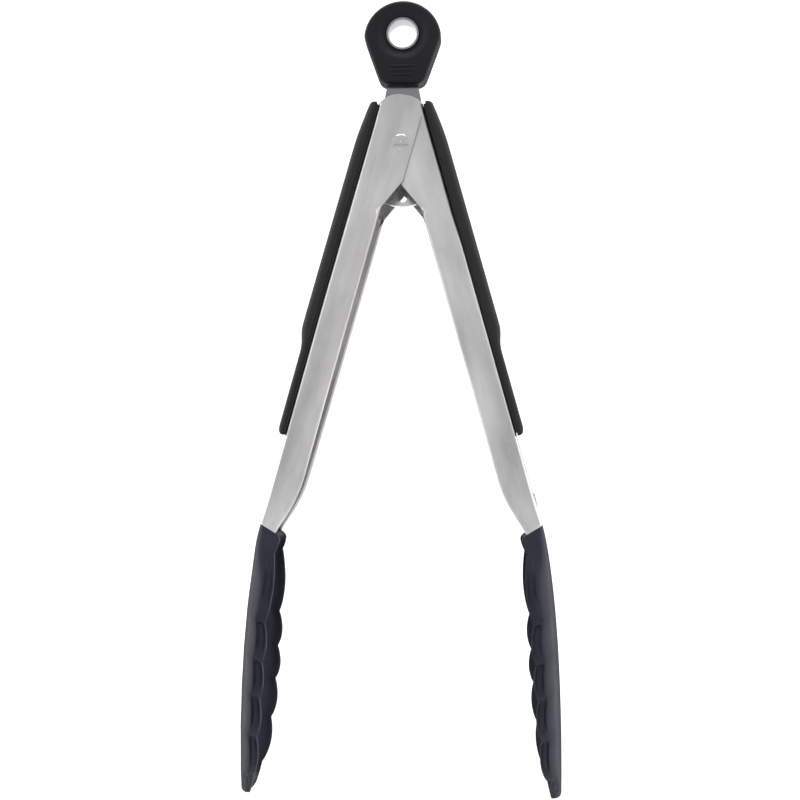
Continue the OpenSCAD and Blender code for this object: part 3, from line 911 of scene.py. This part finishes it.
# %% Polished steel and spring wire
def polished_steel(name, light="#dcdcdd", dark="#c8c8ca", low=0.08, high=0.2):
    material, tree, shader = finish(name, Metallic=1.0)
    scuff = noise(tree, add(tree, "TexCoord").outputs["Object"], per_mm(0.8), 5.0)
    tone = mixed(tree, scuff, linear(dark), linear(light))
    surface(tree, shader, tone, mapped(tree, scuff, 0.35, 0.7, low, high), scuff, 0.08, 0.05)
    return material


# Rivet heads are almost mirrors, so each catches one small sharp highlight
bright = polished_steel("tumbled_stainless")
# The eyelet mirrors the dark tab as well as the room, which gives a bright ring with dark breaks
eyelet_steel = polished_steel("rolled_eyelet_steel", "#adadb2", "#929297", 0.1, 0.22)
# Drawn wire is a little duller, with a soft line of light along it
wire_steel = polished_steel("drawn_spring_wire", "#cfcfd0", "#bcbcbe", 0.18, 0.32)
paint(ring, eyelet_steel)
for piece in (rivet, frame["nodes"]["left_head_rivet"], frame["nodes"]["right_head_rivet"]):
    paint(piece, bright)
for piece in spring_pieces:
    paint(piece, wire_steel)
print("polished:", bright.name, eyelet_steel.name, wire_steel.name)

# %% [markdown]
# ### Moulded rubbers and plastics
# The grips, the heads and the tab share one recipe: a dark body colour in soft clouds, a fine moulded
# grain, and a gloss that is a little uneven where hands and food have touched. What differs is the colour,
# the gloss and the grain's size.

# %% Grip rubber, silicone, tab plastic and nylon
def moulded(name, dark, light, low, high, grain_mm, grain_depth, **constants):
    material, tree, shader = finish(name, **constants)
    place = add(tree, "TexCoord").outputs["Object"]
    grain = noise(tree, place, per_mm(grain_mm), 2.0)
    cloud = noise(tree, place, per_mm(11), 4.0, 0.6)
    tone = mixed(tree, mapped(tree, cloud, 0.3, 0.7), linear(dark), linear(light))
    rough = mapped(tree, combined(tree, "ADD", grain, cloud), 0.7, 1.3, low, high)
    # A matt bloom scatters light that only grazes the surface, so edges don't flash
    graze = add(tree, "LayerWeight", {"Blend": 0.5}).outputs["Facing"]
    matt = combined(tree, "ADD", rough, mapped(tree, graze, 0.65, 0.95, 0.0, 0.4))
    surface(tree, shader, tone, matt, grain, 0.35, grain_depth)
    return material


# The grips' rubber looks black and dry, with only a broad dim sheen
grip_rubber = moulded("thermoplastic_rubber", "#141415", "#1c1d1e", 0.5, 0.68, 0.45, 0.05, IOR=1.5)
# Silicone is a dark blue grey and smoother, so its scallops show as soft bands of light and shade
head_silicone = moulded("moulded_silicone", "#1b1e2c", "#26293a", 0.42, 0.56, 0.7, 0.02, IOR=1.41)
# The tab's plastic is black, with a satin shine on its rounded edges and in its dish
tab_plastic = moulded("moulded_polypropylene", "#141419", "#1a1a20", 0.42, 0.57, 0.4, 0.04, IOR=1.38)
# Nylon inserts and bushes lie inside, where they only close gaps with a plain black
nylon = moulded("black_nylon", "#121214", "#19191c", 0.45, 0.6, 0.5, 0.03, IOR=1.53)
for side in ("left", "right"):
    paint(grips[side], grip_rubber)
    paint(heads[side], head_silicone)
    paint(frame["nodes"][side + "_grip_base"], nylon)
    paint(frame["nodes"][side + "_head_core"], nylon)
paint(tab, tab_plastic)
for name in ("front_bush", "rear_bush"):
    paint(frame["nodes"][name], nylon)
print("moulded:", grip_rubber.name, head_silicone.name, tab_plastic.name, nylon.name)

# %% [markdown]
# ## Studio
# A sheet of white paper is swept up behind the tongs. It is graded from a light grey in front to white at
# the back, where it also glows, because less light reaches it there.

# %% Hang the paper sweep, in metres
floor_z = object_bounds()[0].z - 0.045
SWEEP_FRONT, SWEEP_BACK, SWEEP_R, SWEEP_RISE, SWEEP_HALF = -3.0, 0.9, 0.5, 2.5, 3.0


def sweep_point(column, row):
    x = (column / 8 - 0.5) * 2 * SWEEP_HALF
    if row <= 4:
        y, z = SWEEP_FRONT + (SWEEP_BACK - SWEEP_FRONT) * row / 4, 0.0
    elif row <= 20:
        a = math.pi / 2 * (row - 4) / 16
        y, z = SWEEP_BACK + SWEEP_R * math.sin(a), SWEEP_R * (1 - math.cos(a))
    else:
        y, z = SWEEP_BACK + SWEEP_R, SWEEP_R + SWEEP_RISE * (row - 20) / 2
    return x / MM, y / MM, (floor_z + z) / MM


sweep_sheet = pressed_grid("sweep", 9, 23, sweep_point)
shade(sweep_sheet, 60)
print("the sweep's floor is at", round(floor_z, 3))

# %% Grade the paper
GRADE_FROM, GRADE_TO, GLOW = -0.3, 0.5, 0.28
# Paper gives a plain, even ground, with a faint unevenness from its fibres
paper, paper_tree, paper_shader = finish("graded_paper", Roughness=0.9, Emission_Color=(1, 1, 1, 1))
paper_place = add(paper_tree, "TexCoord").outputs["Object"]
fibre = noise(paper_tree, paper_place, per_mm(3), 3.0)
far_back = add(paper_tree, "SeparateXYZ", {"Vector": paper_place}).outputs["Y"]
grade = mapped(paper_tree, far_back, GRADE_FROM, GRADE_TO)
whiteness = combined(paper_tree, "ADD", grade, combined(paper_tree, "MULTIPLY_ADD", fibre, 0.04, -0.02))
paper_tone = mixed(paper_tree, whiteness, linear("#c9c9c9"), linear("#ffffff"))
paper_tree.links.new(paper_tone, paper_shader.inputs["Base Color"])
glow = combined(paper_tree, "MULTIPLY", grade, GLOW)
paper_tree.links.new(glow, paper_shader.inputs["Emission Strength"])
paint(sweep_sheet, paper)
print("paper:", paper.name)

# %% [markdown]
# Soft white light comes from all round and from a large box above. Dark pieces need something bright to
# reflect at their edges, so two tall soft boxes stand at the sides.

# %% Soft boxes and the room
LIGHTS_AIM = Vector((0, 0, -0.12))
SIDE_BOX, TOP_BOX = (0.5, 1.2), (1.2, 0.9)


def soft_box(name, place, size, watts):
    light = bpy.data.lights.new(name, "AREA")
    light.shape, light.size, light.size_y, light.energy = "RECTANGLE", size[0], size[1], watts
    lamp = bpy.data.objects.new(name, light)
    bpy.context.scene.collection.objects.link(lamp)
    lamp.location = place
    lamp.rotation_euler = (LIGHTS_AIM - Vector(place)).to_track_quat("-Z", "Y").to_euler()


soft_box("left_box", (-0.9, 0.0, 0.1), SIDE_BOX, 3.6)
soft_box("right_box", (0.9, 0.0, 0.1), SIDE_BOX, 2.8)
soft_box("top_box", (0.0, 0.1, 0.95), TOP_BOX, 6)

world = bpy.data.worlds.new("white_room")
bpy.context.scene.world = world
world.use_nodes = True
room = world.node_tree
# The room is a little brighter behind the tongs than in front of them
toward_back = add(room, "SeparateXYZ", {"Vector": add(room, "TexCoord").outputs["Generated"]}).outputs["Y"]
strength = mapped(room, toward_back, -1.0, 0.8, 0.66, 0.75)
room.links.new(strength, room.nodes["Background"].inputs["Strength"])
room.nodes["Background"].inputs["Color"].default_value = (1, 1, 1, 1)
bpy.context.scene.view_settings.view_transform = "Standard"
print("lights:", sorted(light.name for light in bpy.data.lights))
